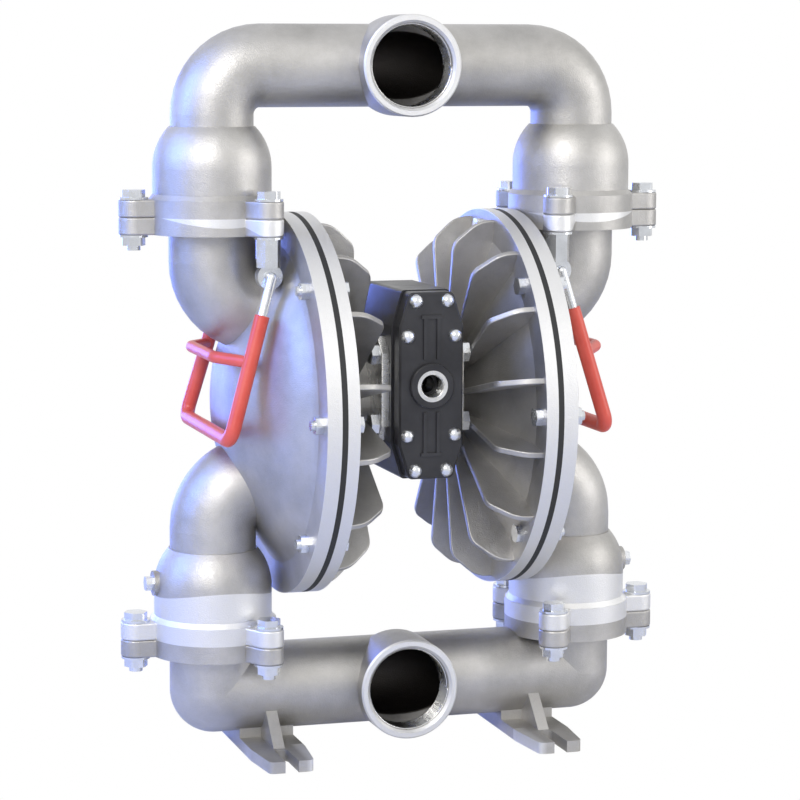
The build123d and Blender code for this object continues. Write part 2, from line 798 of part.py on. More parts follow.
def pilot_pin():
    """Pilot rod that the diaphragm plates nudge at the end of each stroke."""
    level = chamber_height + pilot_height
    return rod_between((-pilot_half_length, 0, level), (pilot_half_length, 0, level),
                       pilot_radius)


def exhaust_plate():
    """Rear plate with the tapped exhaust port."""
    plane = Plane(origin=(0, block_half_depth, cover_height), x_dir=(1, 0, 0),
                  z_dir=(0, 1, 0))
    outline = Rectangle(exhaust_half_width * 2, exhaust_half_height * 2)
    outline = fillet(outline.vertices(), block_corner)
    body = extrude(plane * outline, exhaust_plate_thickness)
    body = chamfer(body.faces().sort_by(Axis.Y)[-1].edges(), 2.0)
    depth = exhaust_plate_thickness + exhaust_boss_height
    body += extrude(plane * Circle(inlet_boss_radius + 3), depth)
    body -= extrude(plane * Circle(exhaust_bore_radius), depth)
    return body


def ball(joint):
    """Rubber valve ball resting on its seat."""
    return Pos(column_offset, 0, ball_rest(joint)) * Sphere(ball_radius)


def ball_seat(joint):
    """Seat ring let in below a joint face."""
    body = extrude(Circle(seat_outer_radius), -seat_thickness)
    body -= extrude(Circle(seat_bore_radius), -seat_thickness)
    return Pos(column_offset, 0, joint) * body


def ear_bolts(joint):
    """Hexagon bolts of one joint, both risers: heads above, tails below."""
    bottom = joint - flange_thickness - ear_nut_height - ear_bolt_tail
    top = joint + flange_thickness
    group = Part()
    for across, along in ear_positions():
        bolt = rod_between((across, along, bottom), (across, along, top), ear_bolt_radius)
        bolt += Pos(across, along, top) * hexagon_bar(ear_hex, ear_head_height)
        group += bolt
    return group + on_left(group)


def ear_nuts(joint, spots):
    """Hexagon nuts under the ears at the given plan positions, both risers."""
    group = Part()
    for across, along in spots:
        nut = hexagon_bar(ear_hex, ear_nut_height)
        nut -= extrude(Circle(ear_bolt_radius), ear_nut_height)
        group += Pos(across, along, joint - flange_thickness - ear_nut_height) * nut
    return group + on_left(group)


def has_nut(level):
    """The top and bottom bolts screw into the casting, where the risers leave no room."""
    return abs(level - chamber_height) < clamp_pitch_radius - 1


def clamp_bolts():
    """Bolts round the right-hand diaphragm ring, heads towards the pump's middle."""
    inner = diaphragm_plane - diaphragm_thickness / 2 - inner_ring_thickness
    outer = diaphragm_plane + diaphragm_thickness / 2 + outer_ring_thickness
    group = Part()
    for along, level in clamp_bolt_spots():
        tip = outer + clamp_nut_height + clamp_bolt_tail if has_nut(level) else outer - 1
        bolt = rod_between((inner, along, level), (tip, along, level), clamp_bolt_radius)
        place = Plane(origin=(inner, along, level), x_dir=(0, 1, 0), z_dir=(-1, 0, 0))
        bolt += place.location * hexagon_bar(clamp_hex, clamp_head_height)
        group += bolt
    return group


def clamp_nuts():
    """Nuts on the liquid side of the right-hand diaphragm ring."""
    outer = diaphragm_plane + diaphragm_thickness / 2 + outer_ring_thickness
    group = Part()
    for along, level in filter(lambda spot: has_nut(spot[1]), clamp_bolt_spots()):
        nut = hexagon_bar(clamp_hex, clamp_nut_height)
        nut -= extrude(Circle(clamp_bolt_radius), clamp_nut_height)
        place = Plane(origin=(outer, along, level), x_dir=(0, 1, 0), z_dir=(1, 0, 0))
        group += place.location * nut
    return group


def drain_plug():
    """Hexagon drain plug in the right-hand lower ball housing."""
    level = lower_joint_height + drain_height
    seat = column_offset + housing_radius + 3
    place = Plane(origin=(seat, 0, level), x_dir=(0, 1, 0), z_dir=(1, 0, 0))
    plug = place.location * hexagon_bar(drain_hex, drain_head_height)
    return plug + rod_between((seat - 9, 0, level), (seat, 0, level), drain_radius)


def handle_pivot():
    """Plan position of the ears that carry a handle, right-hand side, +Y one."""
    return ear_positions()[1]


def eye_nuts():
    """Two long nuts with an eye, under the inner ears of the right-hand riser."""
    across, along = handle_pivot()
    top = upper_joint_height - flange_thickness
    group = Part()
    for side in (-1, 1):
        place = Pos(across, side * along, 0)
        length = top - handle_pivot_height - eye_radius * 0.7
        shank = extrude(RegularPolygon(ear_hex / 2, 6, major_radius=False), length)
        body = place * Pos(0, 0, top - length) * shank
        body -= place * Pos(0, 0, top - ear_nut_height - ear_bolt_tail - 0.5) * extrude(
            Circle(ear_bolt_radius), ear_nut_height + ear_bolt_tail + 0.5)
        eye = rod_between(
            (across, side * along - eye_half_thickness, handle_pivot_height),
            (across, side * along + eye_half_thickness, handle_pivot_height), eye_radius)
        body += eye
        body -= rod_between(
            (across, side * along - eye_half_thickness - 8, handle_pivot_height),
            (across, side * along + eye_half_thickness + 8, handle_pivot_height),
            handle_rod_radius + eye_clearance)
        group += body
    return group


def handle_bar_point():
    """Where the hanging bar rests against the dished cover."""
    across = dome_face + handle_grip_radius + handle_bar_gap
    return across, handle_pivot_height - handle_bar_drop


def handle_points(start_fraction):
    """Corners of the handle loop below a fraction of each leg's length."""
    top = handle_pivot()[0]
    bar, level = handle_bar_point()
    across = top + (bar - top) * start_fraction
    height = handle_pivot_height + (level - handle_pivot_height) * start_fraction
    leg = handle_leg_offset + handle_splay * start_fraction
    foot = handle_leg_offset + handle_splay
    return [(across, -leg, height), (bar, -foot, level), (bar, foot, level),
            (across, leg, height)]


def handle_rod():
    """Steel rod of the right-hand handle, its ends turned in through the eyes."""
    top, along = handle_pivot()
    tip = along - eye_half_thickness - 3
    loop = handle_points(0.0)
    leg = Vector(*loop[1]) - Vector(*loop[0])
    start = Plane(origin=loop[0], z_dir=leg)
    path = FilletPolyline(*loop, radius=handle_bend)
    body = sweep(start * Circle(handle_rod_radius), path=path)
    for side, corner in ((-1, loop[0]), (1, loop[3])):
        body += rod_between((top, side * tip, handle_pivot_height), corner, handle_rod_radius)
        body += Pos(*corner) * Sphere(handle_rod_radius)
    return body


def handle_grip():
    """Red vinyl sleeve on the loop, with the bowed upper cross bar."""
    top = handle_pivot()[0]
    bar, level = handle_bar_point()
    length = math.hypot(bar - top, handle_bar_drop)
    fraction = handle_bare_length / length
    loop = handle_points(fraction)
    path = FilletPolyline(*loop, radius=handle_bend)
    leg = Vector(*loop[1]) - Vector(*loop[0])
    start = Plane(origin=loop[0], z_dir=leg)
    body = sweep(start * Circle(handle_grip_radius), path=path)
    cross = handle_points(handle_cross_drop / length)
    near = cross[0]
    far = cross[3]
    clear = dome_face + handle_grip_radius + handle_cross_reach
    bow_level = near[2] + handle_cross_rise
    turn = (clear, -handle_cross_half, bow_level)
    bow = FilletPolyline(near, turn, (clear, handle_cross_half, bow_level), far, radius=20.0)
    lead = Vector(*turn) - Vector(*near)
    body += sweep(Plane(origin=near, z_dir=lead) * Circle(handle_grip_radius - 1.5), path=bow)
    body -= sweep(start * Circle(handle_rod_radius), path=path)
    return body


def save(name, shape):
    """Write one piece as its own STEP file."""
    export_step(shape, f"parts/{name}.step")


def main_pieces():
    """Every piece of the pump by node name."""
    pivots = [ear_positions()[1], ear_positions()[2]]
    outward = [ear_positions()[0]]
    right = {
        "outer_chamber": outer_chamber(),
        "inner_chamber": inner_chamber(),
        "diaphragm": diaphragm(),
        "inner_plate": diaphragm_plate(-1),
        "outer_plate": diaphragm_plate(1),
        "plate_nut": plate_nut(),
        "shaft_bush": shaft_bush(),
        "discharge_ball": ball(upper_joint_height),
        "suction_ball": ball(lower_joint_height),
        "discharge_seat": ball_seat(upper_joint_height),
        "suction_seat": ball_seat(lower_joint_height),
        "clamp_bolts": clamp_bolts(),
        "clamp_nuts": clamp_nuts(),
        "drain_plug": drain_plug(),
        "eye_nuts": eye_nuts(),
        "handle_rod": handle_rod(),
        "handle_grip": handle_grip(),
    }
    pieces = {
        "discharge_manifold": discharge_manifold(),
        "suction_manifold": suction_manifold(),
        "shaft": shaft(),
        "centre_block": centre_block(),
        "cover_gasket": cover_gasket(),
        "air_cover": air_cover(),
        "inlet_insert": inlet_insert(),
        "cover_screws": cover_screws(),
        "valve_sleeve": valve_sleeve(),
        "valve_spool": valve_spool(),
        "valve_plugs": valve_plugs(),
        "pilot_pin": pilot_pin(),
        "exhaust_plate": exhaust_plate(),
        "upper_bolts": ear_bolts(upper_joint_height),
        "lower_bolts": ear_bolts(lower_joint_height),
        "upper_nuts": ear_nuts(upper_joint_height, outward),
        "lower_nuts": ear_nuts(lower_joint_height, pivots + outward),
    }
    for name, shape in right.items():
        pieces[f"right_{name}"] = shape
        pieces[f"left_{name}"] = on_left(shape)
    return pieces


os.makedirs("parts", exist_ok=True)
for name, shape in main_pieces().items():
    save(name, shape)
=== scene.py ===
import math
import bpy
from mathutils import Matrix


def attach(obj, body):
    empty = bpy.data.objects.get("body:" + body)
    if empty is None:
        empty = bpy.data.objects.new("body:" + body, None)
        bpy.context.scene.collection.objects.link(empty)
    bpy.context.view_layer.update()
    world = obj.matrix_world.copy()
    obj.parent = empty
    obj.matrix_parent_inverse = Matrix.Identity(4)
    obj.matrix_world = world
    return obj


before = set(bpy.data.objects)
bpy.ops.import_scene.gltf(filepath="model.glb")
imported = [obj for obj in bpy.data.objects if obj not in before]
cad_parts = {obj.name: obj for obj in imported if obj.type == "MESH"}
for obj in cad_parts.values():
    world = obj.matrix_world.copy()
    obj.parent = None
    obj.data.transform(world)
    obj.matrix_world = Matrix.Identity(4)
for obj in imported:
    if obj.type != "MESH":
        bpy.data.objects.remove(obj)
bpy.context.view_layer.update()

bpy.ops.object.select_all(action="DESELECT")


# ---------------------------------------------------------------- camera
# A long lens from the front left, a little above the upper manifold and tipped
# slightly down, with its frame shifted across and down.
lens_pixels = 2617.8
frame_pixels = 800
camera_turn = 0.2655
camera_tip = 0.1009
camera_place = (-0.8393, -2.6173, 0.7227)
principal_x = 277.0
principal_y = 320.0
bpy.ops.object.camera_add(location=camera_place)
camera = bpy.context.object
camera.name = "studio_camera"
camera.rotation_euler = (math.pi / 2 - camera_tip, 0.0, -camera_turn)
camera.data.sensor_width = 36.0
camera.data.lens = lens_pixels / frame_pixels * camera.data.sensor_width
camera.data.shift_x = (frame_pixels / 2 - principal_x) / frame_pixels
camera.data.shift_y = (principal_y - frame_pixels / 2) / frame_pixels
camera.data.clip_start = 0.05
bpy.context.scene.camera = camera


# ---------------------------------------------------------------- studio
# A pale seamless floor and a white surround, with four soft boxes: a warm key and
# fill in front, and two blue ones at the left and behind.
bpy.context.scene.view_settings.view_transform = "Standard"
world = bpy.data.worlds.new("studio_surround")
world.use_nodes = True
bpy.context.scene.world = world
surround = world.node_tree
surround.nodes.clear()
sky_out = surround.nodes.new("ShaderNodeOutputWorld")
sky_seen = surround.nodes.new("ShaderNodeBackground")
sky_seen.inputs["Color"].default_value = (1.0, 1.0, 1.0, 1.0)
sky_seen.inputs["Strength"].default_value = 1.0
sky_lit = surround.nodes.new("ShaderNodeBackground")
sky_lit.inputs["Color"].default_value = (0.93, 0.96, 1.0, 1.0)
sky_lit.inputs["Strength"].default_value = 0.42
sky_mix = surround.nodes.new("ShaderNodeMixShader")
sky_path = surround.nodes.new("ShaderNodeLightPath")
sky_shown = surround.nodes.new("ShaderNodeMath")
sky_shown.operation = "MAXIMUM"
sky_mirrored = surround.nodes.new("ShaderNodeMath")
sky_mirrored.operation = "MAXIMUM"
surround.links.new(sky_path.outputs["Is Glossy Ray"], sky_mirrored.inputs[0])
surround.links.new(sky_path.outputs["Is Transmission Ray"], sky_mirrored.inputs[1])
surround.links.new(sky_path.outputs["Is Camera Ray"], sky_shown.inputs[0])
surround.links.new(sky_mirrored.outputs["Value"], sky_shown.inputs[1])
surround.links.new(sky_shown.outputs["Value"], sky_mix.inputs["Fac"])
surround.links.new(sky_lit.outputs["Background"], sky_mix.inputs[1])
surround.links.new(sky_seen.outputs["Background"], sky_mix.inputs[2])
surround.links.new(sky_mix.outputs["Shader"], sky_out.inputs["Surface"])

floor_half = 6.0
bpy.ops.mesh.primitive_plane_add(size=2 * floor_half, location=(0, 0, 0))
studio_floor = bpy.context.object
studio_floor.name = "studio_floor"
floor_paint = bpy.data.materials.new("floor_paper")
floor_paint.use_nodes = True
floor_nodes = floor_paint.node_tree
floor_shader = floor_nodes.nodes["Principled BSDF"]
floor_shader.inputs["Base Color"].default_value = (0.86, 0.86, 0.86, 1.0)
floor_shader.inputs["Roughness"].default_value = 0.9
floor_glow = floor_nodes.nodes.new("ShaderNodeEmission")
floor_glow.inputs["Color"].default_value = (1.0, 1.0, 1.0, 1.0)
floor_mix = floor_nodes.nodes.new("ShaderNodeMixShader")
floor_path = floor_nodes.nodes.new("ShaderNodeLightPath")
floor_nodes.links.new(floor_path.outputs["Is Camera Ray"], floor_mix.inputs["Fac"])
floor_nodes.links.new(floor_shader.outputs["BSDF"], floor_mix.inputs[1])
floor_nodes.links.new(floor_glow.outputs["Emission"], floor_mix.inputs[2])
floor_end = floor_nodes.nodes["Material Output"]
floor_nodes.links.new(floor_mix.outputs["Shader"], floor_end.inputs["Surface"])
studio_floor.data.materials.append(floor_paint)


def soft_lamp(name, place, aim, size, power, tint):
    """Square soft box pointed from its place at a spot on the pump."""
    bpy.ops.object.light_add(type="AREA", location=place)
    lamp = bpy.context.object
    lamp.name = name
    lamp.data.shape = "RECTANGLE"
    lamp.data.size = size[0]
    lamp.data.size_y = size[1]
    lamp.data.energy = power
    lamp.data.color = tint
    reach = [aim[axis] - place[axis] for axis in range(3)]
    level = math.hypot(reach[0], reach[1])
    tip = math.atan2(level, -reach[2])
    turn = math.atan2(reach[1], reach[0]) - math.pi / 2
    lamp.rotation_euler = (tip, 0.0, turn)
    return lamp


soft_lamp("key_soft_box", (-1.6, -2.4, 2.2), (0, 0, 0.4), (1.4, 1.4), 62.0, (1.0, 0.98, 0.95))
soft_lamp("fill_soft_box", (2.4, -1.6, 1.1), (0, 0, 0.4), (1.2, 1.8), 26.0, (1.0, 0.98, 0.96))
soft_lamp("cool_soft_box", (-2.3, 0.1, 1.5), (-0.1, 0, 0.45), (1.0, 1.6), 46.0, (0.10, 0.26, 1.0))
soft_lamp("cool_back_box", (-0.95, 2.5, 0.55), (0.0, 0, 0.40), (1.3, 1.0), 40.0, (0.10, 0.20, 1.0))


# ---------------------------------------------------------------- stainless castings
# Both manifolds and all four chambers are cast stainless, blasted to an even satin
# grain. Chamber rims and port faces are turned bright after casting, and the inside of
# the cross tubes is painted dark as shade.
def object_place(nodes, links):
    """Texture coordinate node whose Object output every pattern reads."""
    return nodes.new("ShaderNodeTexCoord").outputs["Object"]


def skin_group():
    """Cast or moulded skin: slow blotches, fine grain, and a height for bump."""
    group = bpy.data.node_groups.new("cast_skin", "ShaderNodeTree")
    face = group.interface
    for label, value in (("Blotch Scale", 9.0), ("Grain Scale", 900.0), ("Pit Scale", 160.0)):
        plug = face.new_socket(name=label, in_out="INPUT", socket_type="NodeSocketFloat")
        plug.default_value = value
    for label in ("Blotch", "Grain", "Height"):
        face.new_socket(name=label, in_out="OUTPUT", socket_type="NodeSocketFloat")
    nodes, links = group.nodes, group.links
    entry = nodes.new("NodeGroupInput")
    leave = nodes.new("NodeGroupOutput")
    place = object_place(nodes, links)
    blotch = nodes.new("ShaderNodeTexNoise")
    blotch.inputs["Detail"].default_value = 5.0
    blotch.inputs["Roughness"].default_value = 0.62
    grain = nodes.new("ShaderNodeTexNoise")
    grain.inputs["Detail"].default_value = 2.0
    pit = nodes.new("ShaderNodeTexVoronoi")
    pit.feature = "SMOOTH_F1"
    for texture, label in ((blotch, "Blotch Scale"), (grain, "Grain Scale"), (pit, "Pit Scale")):
        links.new(place, texture.inputs["Vector"])
        links.new(entry.outputs[label], texture.inputs["Scale"])
    height = nodes.new("ShaderNodeMath")
    height.operation = "MULTIPLY_ADD"
    height.inputs[1].default_value = 0.35
    links.new(pit.outputs["Distance"], height.inputs[0])
    links.new(grain.outputs["Fac"], height.inputs[2])
    links.new(blotch.outputs["Fac"], leave.inputs["Blotch"])
    links.new(grain.outputs["Fac"], leave.inputs["Grain"])
    links.new(height.outputs["Value"], leave.inputs["Height"])
    return group


cast_skin = skin_group()


def place_skin(tree, blotch_scale, grain_scale, pit_scale):
    """Put the shared skin group in a material with its own scales."""
    skin = tree.nodes.new("ShaderNodeGroup")
    skin.node_tree = cast_skin
    skin.inputs["Blotch Scale"].default_value = blotch_scale
    skin.inputs["Grain Scale"].default_value = grain_scale
    skin.inputs["Pit Scale"].default_value = pit_scale
    return skin


def spread(tree, source, low, high, from_low=0.3, from_high=0.7):
    """Map a texture value onto a range."""
    ramp = tree.nodes.new("ShaderNodeMapRange")
    ramp.inputs["From Min"].default_value = from_low
    ramp.inputs["From Max"].default_value = from_high
    ramp.inputs["To Min"].default_value = low
    ramp.inputs["To Max"].default_value = high
    tree.links.new(source, ramp.inputs["Value"])
    return ramp.outputs["Result"]


def two_tone(tree, factor, first, second):
    """Colour between two tones by a factor."""
    mix = tree.nodes.new("ShaderNodeMix")
    mix.data_type = "RGBA"
    mix.inputs["A"].default_value = (*first, 1.0)
    mix.inputs["B"].default_value = (*second, 1.0)
    tree.links.new(factor, mix.inputs["Factor"])
    return mix.outputs["Result"]


def new_finish(name, metallic, roughness):
    """Fresh material with its shader's plain sockets set."""
    finish = bpy.data.materials.new(name)
    finish.use_nodes = True
    shader = finish.node_tree.nodes["Principled BSDF"]
    shader.inputs["Metallic"].default_value = metallic
    shader.inputs["Roughness"].default_value = roughness
    return finish, finish.node_tree, shader


def bump_from(tree, shader, height, strength, distance):
    """Bump into the shader's normal."""
    bump = tree.nodes.new("ShaderNodeBump")
    bump.inputs["Strength"].default_value = strength
    bump.inputs["Distance"].default_value = distance
    tree.links.new(height, bump.inputs["Height"])
    tree.links.new(bump.outputs["Normal"], shader.inputs["Normal"])


blasted_grey = (0.36, 0.352, 0.338)
blasted_pale = (0.55, 0.54, 0.525)
turned_bright = (0.72, 0.72, 0.72)
chamber_axis_height = 0.362
rim_inner = 0.1978
rim_outer = 0.1982
port_face = -0.0595
face_softness = 0.0003
discharge_level = 0.712
discharge_inside = 0.0385
suction_level = 0.062
suction_inside = 0.0410
inside_softness = 0.0015
# Dark tone painted inside the cross tubes as shade, and how far it and the bright port face reach
# either side of the middle.
painted_tube_shade = (0.060, 0.054, 0.050)
tube_middle_reach = 0.120
tube_middle_fade = 0.010
casting_scales = (11.0, 850.0, 190.0)
casting_smooth = 0.40
casting_rough = 0.58
casting_bump = 0.50
casting_bump_depth = 0.0006


def reach_group():
    """Distance from a line along X at a height, and distance either side of the middle."""
    group = bpy.data.node_groups.new("axis_reach", "ShaderNodeTree")
    face = group.interface
    face.new_socket(name="Level", in_out="INPUT", socket_type="NodeSocketFloat")
    face.new_socket(name="Reach", in_out="OUTPUT", socket_type="NodeSocketFloat")
    face.new_socket(name="Aside", in_out="OUTPUT", socket_type="NodeSocketFloat")
    face.new_socket(name="Depth", in_out="OUTPUT", socket_type="NodeSocketFloat")
    nodes, links = group.nodes, group.links
    entry = nodes.new("NodeGroupInput")
    leave = nodes.new("NodeGroupOutput")
    split = nodes.new("ShaderNodeSeparateXYZ")
    links.new(object_place(nodes, links), split.inputs["Vector"])
    rise = nodes.new("ShaderNodeMath")
    rise.operation = "SUBTRACT"
    links.new(split.outputs["Z"], rise.inputs[0])
    links.new(entry.outputs["Level"], rise.inputs[1])
    flat = nodes.new("ShaderNodeCombineXYZ")
    links.new(split.outputs["Y"], flat.inputs["Y"])
    links.new(rise.outputs["Value"], flat.inputs["Z"])
    reach = nodes.new("ShaderNodeVectorMath")
    reach.operation = "LENGTH"
    links.new(flat.outputs["Vector"], reach.inputs[0])
    aside = nodes.new("ShaderNodeMath")
    aside.operation = "ABSOLUTE"
    links.new(split.outputs["X"], aside.inputs[0])
    links.new(reach.outputs["Value"], leave.inputs["Reach"])
    links.new(aside.outputs["Value"], leave.inputs["Aside"])
    links.new(split.outputs["Y"], leave.inputs["Depth"])
    return group


axis_reach = reach_group()


def place_reach(tree, level):
    """Put the shared distance group in a material at its own height."""
    reach = tree.nodes.new("ShaderNodeGroup")
    reach.node_tree = axis_reach
    reach.inputs["Level"].default_value = level
    return reach


def laid_over(tree, mask, under, tone):
    """Colour under a mask, and a plain tone where the mask is 1."""
    mix = tree.nodes.new("ShaderNodeMix")
    mix.data_type = "RGBA"
    mix.inputs["B"].default_value = (*tone, 1.0)
    tree.links.new(mask, mix.inputs["Factor"])
    tree.links.new(under, mix.inputs["A"])
    return mix.outputs["Result"]


def masks_met(tree, first, second):
    """Mask that is 1 only where both masks are."""
    both = tree.nodes.new("ShaderNodeMath")
    both.operation = "MULTIPLY"
    tree.links.new(first, both.inputs[0])
    tree.links.new(second, both.inputs[1])
    return both.outputs["Value"]


def shade_painted_inside(tree, level, bore, colour):
    """Painted shade inside the middle of a cross tube, and a bright turned port face."""
    reach = place_reach(tree, level)
    inside = spread(tree, reach.outputs["Reach"], 1.0, 0.0, bore, bore + inside_softness)
    middle = spread(tree, reach.outputs["Aside"], 1.0, 0.0, tube_middle_reach, tube_middle_reach + tube_middle_fade)
    # Painted shade: the inside of the bore gets the dark tone.
    colour = laid_over(tree, masks_met(tree, inside, middle), colour, painted_tube_shade)
    faced = spread(tree, reach.outputs["Depth"], 1.0, 0.0,
                   port_face - face_softness, port_face + face_softness)
    return laid_over(tree, masks_met(tree, faced, middle), colour, turned_bright)


def stainless_casting(name, rim):
    """Blasted casting, with a chamber's turned rim or else a manifold's two ports."""
    finish, tree, shader = new_finish(name, 1.0, 0.42)
    skin = place_skin(tree, *casting_scales)
    blotch = spread(tree, skin.outputs["Blotch"], 0.0, 1.0)
    colour = two_tone(tree, blotch, blasted_grey, blasted_pale)
    rough = spread(tree, skin.outputs["Grain"], casting_smooth, casting_rough)
    if rim:
        reach = place_reach(tree, chamber_axis_height)
        turned = spread(tree, reach.outputs["Reach"], 0.0, 1.0, rim_inner, rim_outer)
        colour = laid_over(tree, turned, colour, turned_bright)
    else:
        # Painted shade inside both cross tubes, and their bright port faces.
        colour = shade_painted_inside(tree, discharge_level, discharge_inside, colour)
        colour = shade_painted_inside(tree, suction_level, suction_inside, colour)
    tree.links.new(colour, shader.inputs["Base Color"])
    tree.links.new(rough, shader.inputs["Roughness"])
    bump_from(tree, shader, skin.outputs["Height"], casting_bump, casting_bump_depth)
    return finish


manifold_metal = stainless_casting("blasted_stainless_manifold", False)
chamber_metal = stainless_casting("blasted_stainless_chamber", True)


def dress(finish, *names):
    """Give CAD pieces their finish."""
    for name in names:
        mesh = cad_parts[name].data
        mesh.materials.clear()
        mesh.materials.append(finish)


dress(manifold_metal, "discharge_manifold", "suction_manifold")
dress(chamber_metal, "left_outer_chamber", "right_outer_chamber")
dress(chamber_metal, "left_inner_chamber", "right_inner_chamber")


# ---------------------------------------------------------------- turned steel
# Shaft, valve sleeve, seats, clamping plates and the inlet ring are plain turned
# stainless: brighter than the castings, with fine tool marks.
steel_scales = (40.0, 1600.0, 500.0)
smudge_shade = 0.82
smudge_smooth = 0.06
smudge_rough = 0.10
steel_bump = 0.12
steel_bump_depth = 0.0002


def turned_steel(name, tone, roughness):
    """Turned or plated metal with faint smudges."""
    finish, tree, shader = new_finish(name, 1.0, roughness)
    skin = place_skin(tree, *steel_scales)
    smudge = spread(tree, skin.outputs["Blotch"], 0.0, 1.0)
    darker = tuple(part * smudge_shade for part in tone)
    tree.links.new(two_tone(tree, smudge, darker, tone), shader.inputs["Base Color"])
    sheen = spread(tree, skin.outputs["Blotch"], roughness - smudge_smooth, roughness + smudge_rough)
    tree.links.new(sheen, shader.inputs["Roughness"])
    bump_from(tree, shader, skin.outputs["Grain"], steel_bump, steel_bump_depth)
    return finish


turned_metal = turned_steel("turned_stainless", (0.82, 0.82, 0.81), 0.24)
dress(turned_metal, "shaft", "valve_sleeve", "pilot_pin", "inlet_insert",
      "left_inner_plate", "right_inner_plate", "left_outer_plate", "right_outer_plate",
      "left_discharge_seat", "right_discharge_seat", "left_suction_seat",
      "right_suction_seat", "valve_spool")


# ---------------------------------------------------------------- plated hardware
# Bolts, nuts, eye nuts, handle rods, drain plugs and cover screws are steel, cold
# headed or bent to shape and then bright zinc plated.
zinc_plate = turned_steel("bright_zinc_plate", (0.78, 0.80, 0.83), 0.22)
dress(zinc_plate, "upper_bolts", "lower_bolts", "upper_nuts", "lower_nuts",
      "left_clamp_bolts", "right_clamp_bolts", "left_clamp_nuts", "right_clamp_nuts",
      "left_plate_nut", "right_plate_nut", "left_drain_plug", "right_drain_plug",
      "left_eye_nuts", "right_eye_nuts", "left_handle_rod", "right_handle_rod",
      "cover_screws")


# ---------------------------------------------------------------- black block and cover
# The centre block, air cover, plugs and exhaust plate are glass filled black
# plastic, moulded with a slight satin texture.
moulding_blotch = 26.0
moulding_pit_share = 0.3
moulding_bump_depth = 0.0003


def moulded_plastic(name, dark, pale, low_rough, high_rough, grain_scale, strength):
    """Moulded or dipped plastic with an uneven sheen."""
    finish, tree, shader = new_finish(name, 0.0, low_rough)
    skin = place_skin(tree, moulding_blotch, grain_scale, grain_scale * moulding_pit_share)
    blotch = spread(tree, skin.outputs["Blotch"], 0.0, 1.0)
    tree.links.new(two_tone(tree, blotch, dark, pale), shader.inputs["Base Color"])
    tree.links.new(spread(tree, skin.outputs["Blotch"], low_rough, high_rough),
                   shader.inputs["Roughness"])
    bump_from(tree, shader, skin.outputs["Height"], strength, moulding_bump_depth)
    return finish


black_moulding = moulded_plastic("black_moulded_block", (0.012, 0.012, 0.015),
                                 (0.030, 0.030, 0.034), 0.30, 0.46, 1400.0, 0.18)
dress(black_moulding, "centre_block", "air_cover", "valve_plugs", "exhaust_plate")

black_rubber = moulded_plastic("black_rubber", (0.010, 0.010, 0.010),
                               (0.022, 0.022, 0.022), 0.55, 0.75, 1800.0, 0.2)
dress(black_rubber, "left_diaphragm", "right_diaphragm", "cover_gasket",
      "left_discharge_ball", "right_discharge_ball", "left_suction_ball",
      "right_suction_ball")

bush_bronze = turned_steel("bearing_bronze", (0.62, 0.42, 0.22), 0.32)
dress(bush_bronze, "left_shaft_bush", "right_shaft_bush")

red_vinyl = moulded_plastic("red_vinyl_dip", (0.70, 0.085, 0.06), (0.80, 0.13, 0.09),
                            0.30, 0.44, 600.0, 0.10)
dress(red_vinyl, "left_handle_grip", "right_handle_grip")


# ---------------------------------------------------------------- pipe threads
# The liquid ports, the air inlet and the exhaust are tapped with pipe threads: one
# helical ridge winds down each bore from just inside its lead chamfer.
def start_clean():
    """Leave nothing selected before a new primitive."""
    if bpy.context.object and bpy.context.object.mode != "OBJECT":
        bpy.ops.object.mode_set(mode="OBJECT")
    bpy.ops.object.select_all(action="DESELECT")


def settle(piece, name):
    """Bake a piece's place into its mesh and name it."""
    bpy.ops.object.select_all(action="DESELECT")
    piece.select_set(True)
    bpy.context.view_layer.objects.active = piece
    bpy.ops.object.transform_apply(location=True, rotation=True, scale=True)
    piece.name = name
    piece.data.name = name
    return piece


ridge_share = 0.42
ridge_overlap = 0.0001
ridge_steps = 56


def thread_ridge(name, bore, pitch, turns, mouth, facing, finish):
    """Triangular ridge wound down a bore from its mouth; facing is -1 or +1 along Y."""
    ridge_size = pitch * ridge_share
    start_clean()
    bpy.ops.mesh.primitive_circle_add(vertices=3, radius=ridge_size, fill_type="NOTHING",
                                      rotation=(math.pi / 2, -math.pi / 2, 0.0))
    ridge = bpy.context.object
    bpy.ops.object.transform_apply(location=False, rotation=True, scale=False)
    bpy.ops.object.mode_set(mode="EDIT")
    bpy.ops.mesh.select_all(action="SELECT")
    bpy.ops.transform.translate(value=(bore + ridge_overlap - ridge_size / 2, 0.0, 0.0))
    bpy.ops.object.mode_set(mode="OBJECT")
    bpy.ops.object.modifier_add(type="SCREW")
    winding = ridge.modifiers[-1]
    winding.angle = 2 * math.pi
    winding.steps = ridge_steps
    winding.render_steps = ridge_steps
    winding.screw_offset = pitch
    winding.iterations = turns
    winding.use_merge_vertices = True
    bpy.ops.object.modifier_apply(modifier=winding.name)
    bpy.ops.object.mode_set(mode="EDIT")
    bpy.ops.mesh.select_all(action="SELECT")
    bpy.ops.mesh.fill_holes(sides=3)
    bpy.ops.mesh.select_all(action="SELECT")
    bpy.ops.mesh.normals_make_consistent(inside=False)
    bpy.ops.object.mode_set(mode="OBJECT")
    ridge.rotation_euler = (facing * math.pi / 2, 0.0, 0.0)
    ridge.location = mouth
    settle(ridge, name)
    ridge.data.materials.append(finish)
    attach(ridge, "pump_body")
    return ridge


